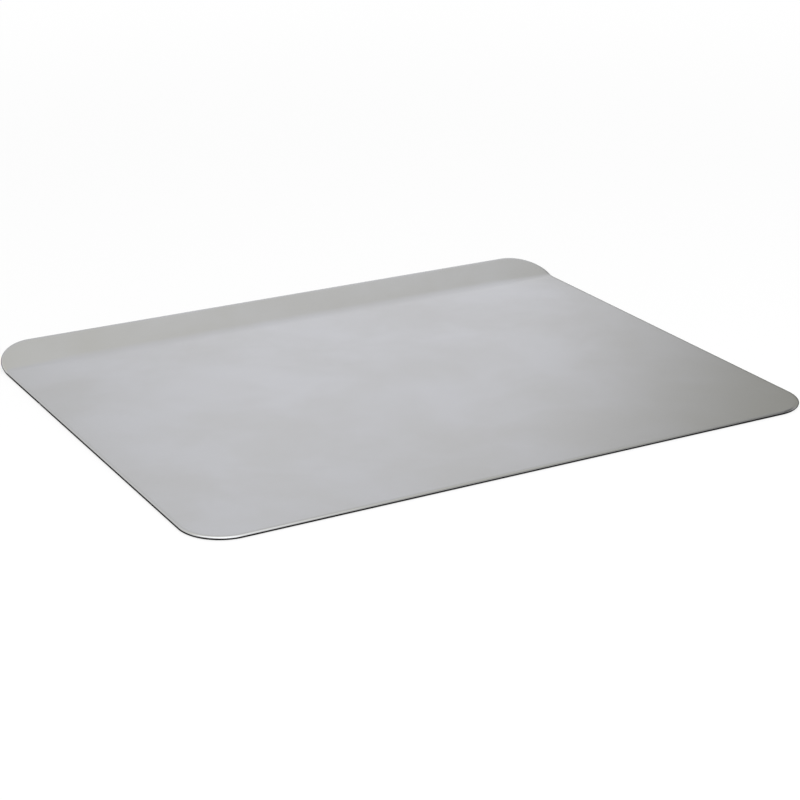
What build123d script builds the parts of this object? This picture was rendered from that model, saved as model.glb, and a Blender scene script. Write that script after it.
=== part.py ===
from build123d import *
from math import cos, radians, sin
import os

# Cookie sheet: one sheet of satin stainless steel.
# Its edge is folded under all round into an open hem, which is the rounded rim and what it stands on.
# Its back is bent up into a low lip to take hold of.
# Lengths are in millimetres, angles in degrees.
# The origin is under the middle of the whole sheet, on the surface it stands on.
# X runs along the lip, +Y points to the lip and +Z is up.

# Plan of the sheet
sheet_width = 457.0     # from side to side
deck_depth = 320.0      # flat baking surface, from the front edge to the start of the bend
corner_radius = 29.0    # all four corners, on the outer edge

# Lip along the back
lip_angle = 18.0        # how far it leans up from the deck
bend_radius = 20.0      # inside of the bend, on the baking side
lip_side = 0.5          # straight stretch of each side between the bend and the lip's corner

# Metal and its hem
metal = 0.8             # thickness of the sheet
hem_gap = 0.8           # height of the open space inside the fold
hem_width = 7.0         # from the outer edge to the raw edge underneath

# Sizes that follow from these
rim_height = metal + hem_gap + metal
rim_radius = rim_height / 2
lip_length = lip_side + corner_radius
blank_depth = deck_depth + lip_length


def flat_outline(inset):
    """Plan of the sheet before it is bent, with its edge drawn in by the inset."""
    plan = RectangleRounded(
        sheet_width - 2 * inset,
        blank_depth - 2 * inset,
        corner_radius - inset,
    )
    return Pos(0, blank_depth / 2) * plan


def top_layer():
    """The sheet itself, out to where the fold starts."""
    return Pos(0, 0, metal + hem_gap) * extrude(flat_outline(rim_radius), metal)


def folded_edge():
    """Half a tube that turns the edge under, all round the outline."""
    front_middle = Plane(origin=(0, rim_radius, rim_radius), x_dir=(0, 1, 0), z_dir=(1, 0, 0))
    tube = Circle(rim_radius) - Circle(hem_gap / 2)
    outer_half = split(tube, bisect_by=Plane.YZ, keep=Keep.BOTTOM)
    fold_line = Pos(0, 0, rim_radius) * flat_outline(rim_radius).wire()
    return sweep(front_middle * outer_half, path=fold_line)


def hem_return():
    """Flat strip that comes back under the sheet and ends in the raw edge."""
    strip = flat_outline(rim_radius) - flat_outline(hem_width)
    return extrude(strip, metal)


def hemmed_blank():
    """The hemmed sheet while it is still flat, without the metal that the bend takes up."""
    return top_layer() + folded_edge() + hem_return()


def bend_up(blank):
    """Turn up the lip, hem and all: the section at the bend line follows an arc, and the rest follows that."""
    bend_line = Plane.XZ.offset(-deck_depth)
    deck = split(blank, bisect_by=bend_line, keep=Keep.TOP)
    lip = split(blank, bisect_by=bend_line, keep=Keep.BOTTOM)
    bend_axis = Axis((0, deck_depth, rim_height + bend_radius), (1, 0, 0))
    cut_face = deck.faces().sort_by(Axis.Y)[-1]
    bend = revolve(cut_face, axis=bend_axis, revolution_arc=lip_angle)
    return deck + bend + lip.rotate(bend_axis, lip_angle)


def overall_depth():
    """Depth of the bent sheet over the table, from the front rim to the outside of the lip's rim."""
    lean = radians(lip_angle)
    bend_reach = (bend_radius + rim_radius) * sin(lean)
    lip_reach = (lip_length - rim_radius) * cos(lean) + rim_radius
    return deck_depth + bend_reach + lip_reach


def baking_sheet():
    """The finished sheet, standing on its hem over the origin."""
    return Pos(0, -overall_depth() / 2) * bend_up(hemmed_blank())


os.makedirs("parts", exist_ok=True)
export_step(baking_sheet(), "parts/baking_sheet.step")
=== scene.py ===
import bpy
import bmesh
from math import cos, pi, radians, sin, tan
from mathutils import Matrix, Vector, noise


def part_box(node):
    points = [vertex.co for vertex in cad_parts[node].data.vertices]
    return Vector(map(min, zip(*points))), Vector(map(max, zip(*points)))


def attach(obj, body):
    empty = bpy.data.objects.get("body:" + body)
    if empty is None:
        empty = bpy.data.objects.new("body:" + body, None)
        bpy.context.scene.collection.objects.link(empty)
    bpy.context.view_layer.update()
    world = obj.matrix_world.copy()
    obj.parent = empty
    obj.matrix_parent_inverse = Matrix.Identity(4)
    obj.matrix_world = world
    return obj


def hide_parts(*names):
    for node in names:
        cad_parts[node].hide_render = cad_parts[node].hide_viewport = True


# Cookie sheet in satin stainless steel, seen from its front left corner on a pale floor.
# Lengths are in metres. The sheet stands on z = 0, with its lip towards +Y.

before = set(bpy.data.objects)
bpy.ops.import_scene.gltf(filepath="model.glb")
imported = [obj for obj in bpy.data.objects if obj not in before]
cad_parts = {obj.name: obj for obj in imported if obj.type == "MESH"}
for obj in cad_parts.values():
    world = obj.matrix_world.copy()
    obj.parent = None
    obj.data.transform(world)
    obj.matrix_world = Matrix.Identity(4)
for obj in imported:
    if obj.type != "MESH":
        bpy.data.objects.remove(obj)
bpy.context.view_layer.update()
sheetLow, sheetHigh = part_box("baking_sheet")
print("frame loaded", [round(side, 4) for side in sheetHigh - sheetLow])

mm = 0.001


def finishedObject(name, bm, material):
    # the bmesh becomes a mesh object that stands at the origin, unturned and unscaled
    mesh = bpy.data.meshes.new(name)
    bm.to_mesh(mesh)
    bm.free()
    mesh.materials.append(material)
    made = bpy.data.objects.new(name, mesh)
    bpy.context.collection.objects.link(made)
    return made


# Node helpers

def addNode(tree, kind, **settings):
    node = tree.nodes.new(kind)
    for name, value in settings.items():
        setattr(node, name, value)
    return node


def feed(tree, socket, value):
    if isinstance(value, bpy.types.NodeSocket):
        tree.links.new(value, socket)
    elif value is not None:
        socket.default_value = value


def mathNode(tree, operation, first, second=None):
    node = addNode(tree, "ShaderNodeMath", operation=operation)
    feed(tree, node.inputs[0], first)
    feed(tree, node.inputs[1], second)
    return node.outputs[0]


def vectorMath(tree, operation, first, second):
    node = addNode(tree, "ShaderNodeVectorMath", operation=operation)
    feed(tree, node.inputs[0], first)
    feed(tree, node.inputs[1], second)
    return node.outputs[0]


def mapRange(tree, value, fromRange, toRange, smooth=True):
    kind = "SMOOTHSTEP" if smooth else "LINEAR"
    node = addNode(tree, "ShaderNodeMapRange", interpolation_type=kind)
    feed(tree, node.inputs["Value"], value)
    node.inputs["From Min"].default_value, node.inputs["From Max"].default_value = fromRange
    node.inputs["To Min"].default_value, node.inputs["To Max"].default_value = toRange
    return node.outputs["Result"]


def mixColour(tree, factor, first, second):
    node = addNode(tree, "ShaderNodeMix", data_type="RGBA")    # its colour sockets are 6, 7 and 2
    feed(tree, node.inputs[0], factor)
    feed(tree, node.inputs[6], first)
    feed(tree, node.inputs[7], second)
    return node.outputs[2]


def noiseNode(tree, vector, scale, detail=2.0, roughness=0.5, distortion=0.0):
    node = addNode(tree, "ShaderNodeTexNoise")
    feed(tree, node.inputs["Vector"], vector)
    node.inputs["Scale"].default_value = scale
    node.inputs["Detail"].default_value = detail
    node.inputs["Roughness"].default_value = roughness
    node.inputs["Distortion"].default_value = distortion
    return node.outputs["Fac"]


def startGroup(name, inputs, outputs):
    group = bpy.data.node_groups.new(name, "ShaderNodeTree")
    for label, kind, value in inputs:
        socket = group.interface.new_socket(label, in_out="INPUT", socket_type="NodeSocket" + kind)
        if value is not None:
            socket.default_value = value
    for label, kind in outputs:
        group.interface.new_socket(label, in_out="OUTPUT", socket_type="NodeSocket" + kind)
    return group, group.nodes.new("NodeGroupInput"), group.nodes.new("NodeGroupOutput")


def placeGroup(tree, group, **values):
    node = tree.nodes.new("ShaderNodeGroup")
    node.node_tree = group
    for label, value in values.items():
        feed(tree, node.inputs[label], value)
    return node


# Steel: its surface effects, and then the material

steel = {
    "colour": (0.544, 0.547, 0.556, 1.0),
    "dullColour": (0.518, 0.518, 0.513, 1.0),
    "rimColour": (0.59, 0.59, 0.59, 1.0),
    "roughness": (0.214, 0.246),    # of the bright patches, and of the dull ones
    "rimRoughness": 0.183,
    "rimStart": (-0.1, 0.4),    # mm outside the middle of the fold
    "cloudSize": 80 * mm,
    "cloudNoise": {"detail": 6.0, "roughness": 0.54, "distortion": 0.3},
    "grainLength": 24 * mm,
    "grainWidth": 0.35 * mm,
    "grainHeight": 0.006 * mm,
    "grainRoughness": (-0.02, 0.02),    # what the grain adds to the roughness
    "grainNoise": {"detail": 4.0, "roughness": 0.6},
    "noiseSpan": (0.3, 0.7),    # most of a noise lies between these
}


def rolledGrain():
    # fine lines along X, where the mill's rollers and the satin belt ran
    sizes = [("Length", "Float", steel["grainLength"]), ("Width", "Float", steel["grainWidth"])]
    group, start, end = startGroup(
        "rolledGrain", [("Position", "Vector", None)] + sizes, [("Grain", "Float")]
    )
    along = mathNode(group, "DIVIDE", 1.0, start.outputs["Length"])
    across = mathNode(group, "DIVIDE", 1.0, start.outputs["Width"])
    scales = addNode(group, "ShaderNodeCombineXYZ")
    feed(group, scales.inputs[0], along)
    feed(group, scales.inputs[1], across)
    feed(group, scales.inputs[2], across)
    stretched = vectorMath(group, "MULTIPLY", start.outputs["Position"], scales.outputs[0])
    feed(group, end.inputs["Grain"], noiseNode(group, stretched, 1.0, **steel["grainNoise"]))
    return group


def cloudyFinish():
    # slow, soft patches where the finish is a little duller or brighter
    group, start, end = startGroup(
        "cloudyFinish",
        [("Position", "Vector", None), ("Size", "Float", steel["cloudSize"])],
        [("Cloud", "Float")],
    )
    size = mathNode(group, "DIVIDE", 1.0, start.outputs["Size"])
    scales = addNode(group, "ShaderNodeCombineXYZ")
    for socket in scales.inputs:
        feed(group, socket, size)
    scaled = vectorMath(group, "MULTIPLY", start.outputs["Position"], scales.outputs[0])
    soft = noiseNode(group, scaled, 1.0, **steel["cloudNoise"])
    feed(group, end.inputs["Cloud"], mapRange(group, soft, steel["noiseSpan"], (0.0, 1.0)))
    return group


def satinSteel():
    material = bpy.data.materials.new("satinSteel")
    material.use_nodes = True
    tree = material.node_tree
    surface = tree.nodes["Principled BSDF"]
    place = addNode(tree, "ShaderNodeTexCoord").outputs["Object"]
    outward = addNode(tree, "ShaderNodeAttribute", attribute_name="outward").outputs["Fac"]
    rim = mapRange(tree, outward, steel["rimStart"], (0.0, 1.0))

    cloud = placeGroup(tree, cloudyFinish(), Position=place, Size=steel["cloudSize"]).outputs["Cloud"]
    grain = placeGroup(
        tree, rolledGrain(), Position=place, Length=steel["grainLength"], Width=steel["grainWidth"]
    ).outputs["Grain"]

    plain = mixColour(tree, cloud, steel["dullColour"], steel["colour"])
    feed(tree, surface.inputs["Base Color"], mixColour(tree, rim, plain, steel["rimColour"]))

    smoothest, roughest = steel["roughness"]
    dull = mapRange(tree, cloud, (0.0, 1.0), (roughest, smoothest), smooth=False)
    fine = mapRange(tree, grain, steel["noiseSpan"], steel["grainRoughness"], smooth=False)
    satin = mathNode(tree, "ADD", dull, fine)
    polished = addNode(tree, "ShaderNodeMix", data_type="FLOAT")    # its number sockets are 2, 3 and 0
    feed(tree, polished.inputs[0], rim)
    feed(tree, polished.inputs[2], satin)
    feed(tree, polished.inputs[3], steel["rimRoughness"])
    feed(tree, surface.inputs["Roughness"], polished.outputs[0])

    bump = addNode(tree, "ShaderNodeBump")
    bump.inputs["Strength"].default_value = 1.0
    bump.inputs["Distance"].default_value = steel["grainHeight"]
    feed(tree, bump.inputs["Height"], grain)
    feed(tree, surface.inputs["Normal"], bump.outputs[0])
    surface.inputs["Metallic"].default_value = 1.0
    return material


# Baking sheet: made flat with its hem, cut into a fine grid, and then bent up along the back

sheet = {
    "cornerRadius": 29 * mm,
    "lipAngle": radians(18),
    "bendRadius": 20 * mm,    # at the stiff hem, and softer in the single metal between
    "softRadius": 40 * mm,
    "softFade": 60 * mm,    # from each side in to where the bend is softest
    "lipSide": 0.5 * mm,    # straight stretch between the bend and the lip's corner
    "metal": 0.8 * mm,
    "hemGap": 0.8 * mm,
    "hemWidth": 7 * mm,
    "shoulder": 3.45 * mm,    # how far in from the edge the top starts to droop
    "shoulderPower": 0.63,    # under 1 the droop is flatter at first, and fuller at the edge
    "rawEdgeRound": 0.15 * mm,
    "cornerSteps": 40,
    "shoulderSteps": 14,
    "foldSteps": 16,
    "bendSteps": 36,
    "gridStep": 8 * mm,
    "supportStep": 0.5 * mm,    # from a bend to the loop that keeps the metal beside it flat
    "innerLoop": -6.5 * mm,    # first loop of the deck, outward of the middle of the fold
    "cutTolerance": 0.001 * mm,
    "smoothAngle": radians(35),
    "waveHeight": 0.24 * mm,
    "waveLength": 95 * mm,
    "waveFade": 45 * mm,
    "puckerHeight": 0.16 * mm,
    "puckersPerCorner": 6,
}
rimHeight = 2 * sheet["metal"] + sheet["hemGap"]
rimRadius = rimHeight / 2
lipLength = sheet["lipSide"] + sheet["cornerRadius"]
bendLength = sheet["lipAngle"] * (sheet["bendRadius"] + rimRadius)
sheetSize = sheetHigh - sheetLow
lean = sheet["lipAngle"]
bendReach = (sheet["bendRadius"] + rimRadius) * sin(lean)
bendGrowth = (sheet["softRadius"] - sheet["bendRadius"]) * tan(lean / 2)    # at each side of the tight bend
lipReach = (lipLength - rimRadius) * cos(lean) + rimRadius
deckDepth = sheetSize.y - bendReach - lipReach
blankDepth = deckDepth + bendLength + lipLength
coreX = sheetSize.x / 2 - sheet["cornerRadius"]
coreY = blankDepth / 2 - sheet["cornerRadius"]
foldRadius = sheet["cornerRadius"] - rimRadius    # of the corners, along the middle of the fold


def nearestCore(place):
    # the corner centres make a rectangle: every edge of the sheet lies square off it
    return Vector((max(-coreX, min(coreX, place.x)), max(-coreY, min(coreY, place.y)), 0))


def outwardOf(place):
    flat = Vector((place.x, place.y, 0))
    return (flat - nearestCore(place)).length - foldRadius


def moveLoop(verts, outward, height):
    for vert in verts:
        core = nearestCore(vert.co)
        away = Vector((vert.co.x, vert.co.y, 0)) - core
        vert.co = core + away.normalized() * (foldRadius + outward) + Vector((0, 0, height))


def growLoop(bm, edges, outward, height):
    made = bmesh.ops.extrude_edge_only(bm, edges=edges)["geom"]
    moveLoop([part for part in made if isinstance(part, bmesh.types.BMVert)], outward, height)
    return [part for part in made if isinstance(part, bmesh.types.BMEdge) and part.is_boundary]


def hemProfile():
    # from the deck over the outside of the fold, back along the underside, and out through its inside
    metal = sheet["metal"]
    shoulder = sheet["shoulder"]
    gapRadius = sheet["hemGap"] / 2
    raw = rimRadius - sheet["hemWidth"]
    soft = sheet["rawEdgeRound"]
    outside = []
    for step in range(sheet["shoulderSteps"]):    # the top droops softly before it turns down
        turn = pi / 2 * step / sheet["shoulderSteps"]
        along = shoulder * sin(turn) ** sheet["shoulderPower"]
        outside.append((rimRadius - shoulder + along, rimRadius + rimRadius * cos(turn)))
    turns = [pi / 2 - pi * step / sheet["foldSteps"] for step in range(sheet["foldSteps"] + 1)]
    outside += [(rimRadius * cos(turn), rimRadius + rimRadius * sin(turn)) for turn in turns if turn <= 0]
    strip = [
        (-sheet["supportStep"], 0),
        (raw + soft, 0),
        (raw, soft),
        (raw, metal - soft),
        (raw + soft, metal),
        (-sheet["supportStep"], metal),
    ]
    inside = [(gapRadius * cos(turn), rimRadius + gapRadius * sin(turn)) for turn in reversed(turns)]
    return outside + strip + inside + [(-sheet["supportStep"], metal + sheet["hemGap"])]


def flatBlank(bm):
    bmesh.ops.create_grid(bm, x_segments=1, y_segments=1, size=0.5)    # a unit square
    width = 2 * (coreX + foldRadius)
    depth = 2 * (coreY + foldRadius)
    bmesh.ops.scale(bm, vec=(width, depth, 1), verts=bm.verts)
    bmesh.ops.bevel(
        bm, geom=bm.verts[:], offset=foldRadius, offset_type="OFFSET", affect="VERTICES",
        segments=sheet["cornerSteps"], profile=0.5, material=-1,
    )
    moveLoop(bm.verts, sheet["innerLoop"], rimHeight)
    edges = bm.edges[:]
    for outward, height in hemProfile():
        edges = growLoop(bm, edges, outward, height)
    bmesh.ops.contextual_create(bm, geom=edges)
    bmesh.ops.recalc_face_normals(bm, faces=bm.faces)


def cutAcross(bm, places, axis):
    for place in places:
        normal = Vector((0, 0, 0))
        normal[axis] = 1
        parts = bm.verts[:] + bm.edges[:] + bm.faces[:]
        bmesh.ops.bisect_plane(
            bm, geom=parts, dist=sheet["cutTolerance"], plane_co=normal * place, plane_no=normal
        )


def spread(first, last, step):
    count = max(1, round((last - first) / step))
    return [first + (last - first) * index / count for index in range(count + 1)]


def gridCuts(bm):
    bendStart = deckDepth - blankDepth / 2
    bendEnd = bendStart + bendLength
    softStart = bendStart - bendGrowth
    softEnd = bendEnd + bendGrowth
    support = sheet["supportStep"]
    cutAcross(bm, spread(-coreX, coreX, sheet["gridStep"]), 0)
    cutAcross(bm, spread(-coreY, softStart - support, sheet["gridStep"]), 1)
    cutAcross(bm, spread(softStart, softEnd, (softEnd - softStart) / sheet["bendSteps"]), 1)
    cutAcross(bm, [bendEnd + sheet["lipSide"], softEnd + support], 1)


def easedShare(value):
    share = max(0, min(1, value))
    return share * share * (3 - 2 * share)


def hammer(bm):
    # the deck is slightly wavy, and the fold gathers under the corners
    reach = sheet["hemWidth"] - rimRadius
    for vert in bm.verts:
        outward = outwardOf(vert.co)
        if vert.co.z > sheet["metal"] + sheet["hemGap"] / 2:
            fade = easedShare(-outward / sheet["waveFade"])
            spot = Vector((vert.co.x, vert.co.y, 0)) / sheet["waveLength"]
            vert.co.z += sheet["waveHeight"] * fade * noise.noise(spot)
        elif outward < 0:
            away = Vector((vert.co.x, vert.co.y, 0)) - nearestCore(vert.co)
            if min(abs(away.x), abs(away.y)) > 0:
                turn = abs(away.y) / (abs(away.x) + abs(away.y))
                gather = 0.5 - 0.5 * cos(2 * pi * sheet["puckersPerCorner"] * turn)
                vert.co.z += sheet["puckerHeight"] * gather * min(1, -outward / reach)


def bendUp(bm):
    bendStart = deckDepth - blankDepth / 2
    for vert in bm.verts:
        past = vert.co.y - bendStart
        growth = bendGrowth * easedShare((sheetSize.x / 2 - abs(vert.co.x)) / sheet["softFade"])
        share = (past + growth) / (bendLength + 2 * growth)
        if share <= 0:
            continue
        if share >= 1:
            growth = 0    # the flat of the lip lies where the tight bend puts it
        turn = lean * min(1, share)
        beyond = max(0, past - bendLength) if share >= 1 else 0
        axisHeight = rimHeight + sheet["bendRadius"] + growth / tan(lean / 2)
        arm = axisHeight - vert.co.z
        vert.co.y = bendStart - growth + arm * sin(turn) + beyond * cos(turn)
        vert.co.z = axisHeight - arm * cos(turn) + beyond * sin(turn)


def makeSheet(material):
    bm = bmesh.new()
    flatBlank(bm)
    gridCuts(bm)
    outwardLayer = bm.verts.layers.float.new("outward")    # in mm, for the material
    for vert in bm.verts:
        vert[outwardLayer] = outwardOf(vert.co) / mm
    hammer(bm)
    bendUp(bm)
    middle = Vector(((sheetLow.x + sheetHigh.x) / 2, sheetLow.y + blankDepth / 2, 0))
    bmesh.ops.translate(bm, verts=bm.verts, vec=middle)
    piece = finishedObject("bakingSheet", bm, material)
    piece.data.shade_smooth()
    piece.data.set_sharp_from_angle(angle=sheet["smoothAngle"])
    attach(piece, "root")
    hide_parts("baking_sheet")
    print("baking sheet", len(piece.data.vertices), "points", len(piece.data.polygons), "faces")


makeSheet(satinSteel())


# Camera, where the photograph was taken from

camera = {
    "place": Vector((-0.66588, -1.17281, 0.51443)),
    "target": Vector((-0.01254, -0.03208, 0.0012)),
    "roll": radians(0.348),
    "lens": 93.71,
    "sensor": 36,
}


def makeCamera():
    data = bpy.data.cameras.new("camera")
    data.lens = camera["lens"]
    data.sensor_width = camera["sensor"]
    back = (camera["place"] - camera["target"]).normalized()
    right = Vector((0, 0, 1)).cross(back).normalized()
    up = back.cross(right)
    tilt = Matrix.Rotation(camera["roll"], 3, back)
    turned = Matrix((tilt @ right, tilt @ up, back)).transposed()
    holder = bpy.data.objects.new("camera", data)
    holder.matrix_world = Matrix.Translation(camera["place"]) @ turned.to_4x4()
    bpy.context.collection.objects.link(holder)
    bpy.context.scene.camera = holder
    print("camera placed")


makeCamera()


# Studio. The metal mirrors a sky of several colours, each laid over those before it.
# A pair gives where a colour starts to show and where it is whole. Turn is the angle round from +Y
# towards +X, rise is how steeply up, across is towards +X, and front and deep are towards +Y.

studio = {
    "floorSize": 14,
    "floorDrop": 0.03 * mm,    # keeps the floor clear of the hem
    "floorColour": (0.88, 0.88, 0.88, 1.0),
    "floorWhite": (0.75, 1.0),    # near the sheet, and far away
    "floorFade": (0.5, 1.6),
    "backdrop": (1.0, 1.0, 1.0, 1.0),    # what the camera sees past the floor
    "ambient": (0.95, 0.95, 0.95, 1.0),    # what lights matt things
    "skyColour": (0.719, 0.725, 0.726, 1.0),    # this one and those below are what the metal mirrors
    "lowColour": (0.01, 0.01, 0.01, 1.0),
    "lowRise": (0.26, 0.07),
    "lowDeep": (0.0, 0.3),
    "leftColour": (0.02, 0.02, 0.02, 1.0),
    "leftTurn": (radians(7), radians(-15)),
    "leftEnd": (radians(-85), radians(-60)),
    "leftRise": (0.45, 0.28),
    "upLeftColour": (0.87, 0.87, 0.87, 1.0),
    "upLeftTurn": (radians(15), radians(-5)),
    "upLeftRise": (0.36, 0.5),
    "highColour": (0.877, 0.869, 0.78, 1.0),
    "highRise": (0.6, 0.92),
    "sideColour": (0.417, 0.412, 0.37, 1.0),
    "sideTurn": (radians(20.7), radians(37.7)),
    "sideEnd": (radians(100), radians(75)),
    "sideRise": (0.58, 0.44),
    "farColour": (0.16, 0.16, 0.16, 1.0),
    "farAcross": (0.56, 0.63),
    "farEnd": (0.88, 0.78),
    "farRise": (0.45, 0.6),
    "overheadLeft": (0.463, 0.463, 0.463, 1.0),
    "overheadRight": (0.25, 0.25, 0.25, 1.0),
    "overheadAcross": (0.517, 0.647),
    "overheadFront": (0.492, -0.244),
    "overheadRise": (0.2, 0.4),
    "softboxPlace": (-0.29, -1.425, 1.3),
    "softboxSize": (1.42, 1.95),
    "softboxPower": 14,
}

# Cards round the sheet: upright ones stand at their place along Y, and level ones hang at theirs along Z.
# Each side gives where the card fades out, and where it is whole.
cards = {
    "back": {
        "upright": True, "place": 0.5, "colour": (1.006, 1.009, 1.05, 1.0),
        "left": (-0.3, 0.17), "right": (0.87, 0.38), "near": (0.06, 0.125), "far": (0.86, 0.05),
    },
    "top": {
        "upright": False, "place": 0.32, "colour": (1.67, 1.69, 1.74, 1.0),
        "left": (-0.56, -0.45), "right": (0.13, -0.2), "near": (-1.0, -0.94), "far": (0.05, -0.1),
    },
    "front": {
        "upright": True, "place": -0.296, "colour": (0.01, 0.01, 0.01, 1.0),
        "left": (-0.8, -0.7), "right": (0.9, 0.8), "near": (-0.002, -0.001), "far": (0.037, 0.031),
    },
    "rightEnd": {
        "upright": True, "place": -0.195, "colour": (0.01, 0.01, 0.01, 1.0),
        "left": (0.1, 0.2), "right": (0.5, 0.4), "near": (0.0035, 0.0045), "far": (0.0125, 0.0095),
    },
    "leftEnd": {
        "upright": False, "place": -0.01 * mm, "colour": (0.01, 0.01, 0.01, 1.0),
        "left": (-0.4, -0.33), "right": (-0.19, -0.21), "near": (0.08, 0.1), "far": (0.45, 0.38),
    },
    "under": {
        "upright": False, "place": -0.01 * mm, "colour": (0.01, 0.01, 0.01, 1.0),
        "left": (-1.5, -1.3), "right": (1.5, 1.3), "near": (-1.5, -1.3), "far": (0.165, 0.125),
    },
}


def seenShare(tree, path):
    # 1 for what the camera, a reflection or clear glass sees, and 0 for light on the object
    seen = mathNode(tree, "MAXIMUM", path.outputs["Is Camera Ray"], path.outputs["Is Glossy Ray"])
    return mathNode(tree, "MAXIMUM", seen, path.outputs["Is Transmission Ray"])


def fadeShare(tree, *fades):
    # 1 where every value is past its soft edge, and 0 where one of them is before it
    share = None
    for value, edge in fades:
        past = mapRange(tree, value, edge, (0.0, 1.0))
        share = past if share is None else mathNode(tree, "MULTIPLY", share, past)
    return share


def laidOver(tree, sky, colour, *fades):
    # the colour covers the sky where every value is past the soft edge that studio names
    share = fadeShare(tree, *[(value, studio[name]) for value, name in fades])
    return mixColour(tree, share, sky, colour)


def makeFloor():
    bm = bmesh.new()
    bmesh.ops.create_grid(bm, x_segments=1, y_segments=1, size=studio["floorSize"] / 2)
    bmesh.ops.translate(bm, verts=bm.verts, vec=(0, 0, -studio["floorDrop"]))
    material = bpy.data.materials.new("paleFloor")
    material.use_nodes = True
    tree = material.node_tree
    matt = tree.nodes["Principled BSDF"]
    matt.inputs["Base Color"].default_value = studio["floorColour"]
    matt.inputs["Roughness"].default_value = 1.0
    matt.inputs["Specular IOR Level"].default_value = 0.0
    white = addNode(tree, "ShaderNodeEmission")
    seen = seenShare(tree, addNode(tree, "ShaderNodeLightPath"))
    away = addNode(tree, "ShaderNodeVectorMath", operation="LENGTH")
    feed(tree, away.inputs[0], addNode(tree, "ShaderNodeTexCoord").outputs["Object"])
    share = mapRange(tree, away.outputs["Value"], studio["floorFade"], studio["floorWhite"])
    blend = addNode(tree, "ShaderNodeMixShader")
    feed(tree, blend.inputs[0], mathNode(tree, "MULTIPLY", seen, share))
    feed(tree, blend.inputs[1], matt.outputs[0])
    feed(tree, blend.inputs[2], white.outputs[0])
    feed(tree, tree.nodes["Material Output"].inputs[0], blend.outputs[0])
    finishedObject("floor", bm, material)


def makeCard(name, card):
    # the metal mirrors it, and nothing else sees it
    left, right, near, far = [card[side][0] for side in ("left", "right", "near", "far")]
    bm = bmesh.new()
    bmesh.ops.create_grid(bm, x_segments=1, y_segments=1, size=0.5)    # a unit square
    bmesh.ops.scale(bm, vec=(right - left, far - near, 1), verts=bm.verts)
    bmesh.ops.translate(bm, verts=bm.verts, vec=((left + right) / 2, (near + far) / 2, 0))
    if card["upright"]:
        bmesh.ops.rotate(bm, matrix=Matrix.Rotation(pi / 2, 3, "X"), verts=bm.verts)
    away = (0, card["place"], 0) if card["upright"] else (0, 0, card["place"])
    bmesh.ops.translate(bm, verts=bm.verts, vec=away)
    material = bpy.data.materials.new(name)
    material.use_nodes = True
    tree = material.node_tree
    tree.nodes.remove(tree.nodes["Principled BSDF"])
    parts = addNode(tree, "ShaderNodeSeparateXYZ")
    feed(tree, parts.inputs[0], addNode(tree, "ShaderNodeTexCoord").outputs["Object"])
    across = parts.outputs[0]
    along = parts.outputs[2 if card["upright"] else 1]
    whole = fadeShare(
        tree, (across, card["left"]), (across, card["right"]), (along, card["near"]), (along, card["far"])
    )
    glow = addNode(tree, "ShaderNodeEmission")
    glow.inputs["Color"].default_value = card["colour"]
    blend = addNode(tree, "ShaderNodeMixShader")
    feed(tree, blend.inputs[0], whole)
    feed(tree, blend.inputs[1], addNode(tree, "ShaderNodeBsdfTransparent").outputs[0])
    feed(tree, blend.inputs[2], glow.outputs[0])
    feed(tree, tree.nodes["Material Output"].inputs[0], blend.outputs[0])
    holder = finishedObject(name, bm, material)
    holder.visible_camera = False
    holder.visible_diffuse = False
    holder.visible_transmission = False
    holder.visible_volume_scatter = False
    holder.visible_shadow = False


def makeWorld():
    world = bpy.data.worlds.new("studio")
    bpy.context.scene.world = world
    world.use_nodes = True
    tree = world.node_tree
    direction = addNode(tree, "ShaderNodeTexCoord").outputs["Generated"]
    parts = addNode(tree, "ShaderNodeSeparateXYZ")
    feed(tree, parts.inputs[0], direction)
    across, deep, up = parts.outputs
    turn = mathNode(tree, "ARCTAN2", across, deep)

    side = ((turn, "sideTurn"), (turn, "sideEnd"), (up, "sideRise"))
    left = ((turn, "leftTurn"), (turn, "leftEnd"), (up, "leftRise"))
    upLeft = ((turn, "upLeftTurn"), (up, "upLeftRise"))
    far = ((across, "farAcross"), (across, "farEnd"), (up, "farRise"))
    overheadRight = ((across, "overheadAcross"), (across, "farEnd"))
    overhead = laidOver(tree, studio["overheadLeft"], studio["overheadRight"], *overheadRight)
    sky = laidOver(tree, studio["skyColour"], studio["sideColour"], *side)
    sky = laidOver(tree, sky, studio["leftColour"], *left)
    sky = laidOver(tree, sky, studio["upLeftColour"], *upLeft)
    sky = laidOver(tree, sky, studio["highColour"], (up, "highRise"))
    sky = laidOver(tree, sky, overhead, (deep, "overheadFront"), (up, "overheadRise"))
    sky = laidOver(tree, sky, studio["farColour"], *far)
    sky = laidOver(tree, sky, studio["lowColour"], (up, "lowRise"), (deep, "lowDeep"))
    path = addNode(tree, "ShaderNodeLightPath")
    lit = mixColour(tree, seenShare(tree, path), studio["ambient"], sky)
    shown = mixColour(tree, path.outputs["Is Camera Ray"], lit, studio["backdrop"])
    feed(tree, tree.nodes["Background"].inputs["Color"], shown)


def makeSoftbox():
    data = bpy.data.lights.new("softbox", "AREA")
    data.shape = "RECTANGLE"
    data.size, data.size_y = studio["softboxSize"]
    data.energy = studio["softboxPower"]
    holder = bpy.data.objects.new("softbox", data)
    holder.location = studio["softboxPlace"]
    holder.visible_camera = False
    holder.visible_glossy = False
    bpy.context.collection.objects.link(holder)


makeFloor()
for name, card in cards.items():
    makeCard(name + "Card", card)
makeWorld()
makeSoftbox()

view = bpy.context.scene.view_settings
view.view_transform = "Standard"
print("studio ready")
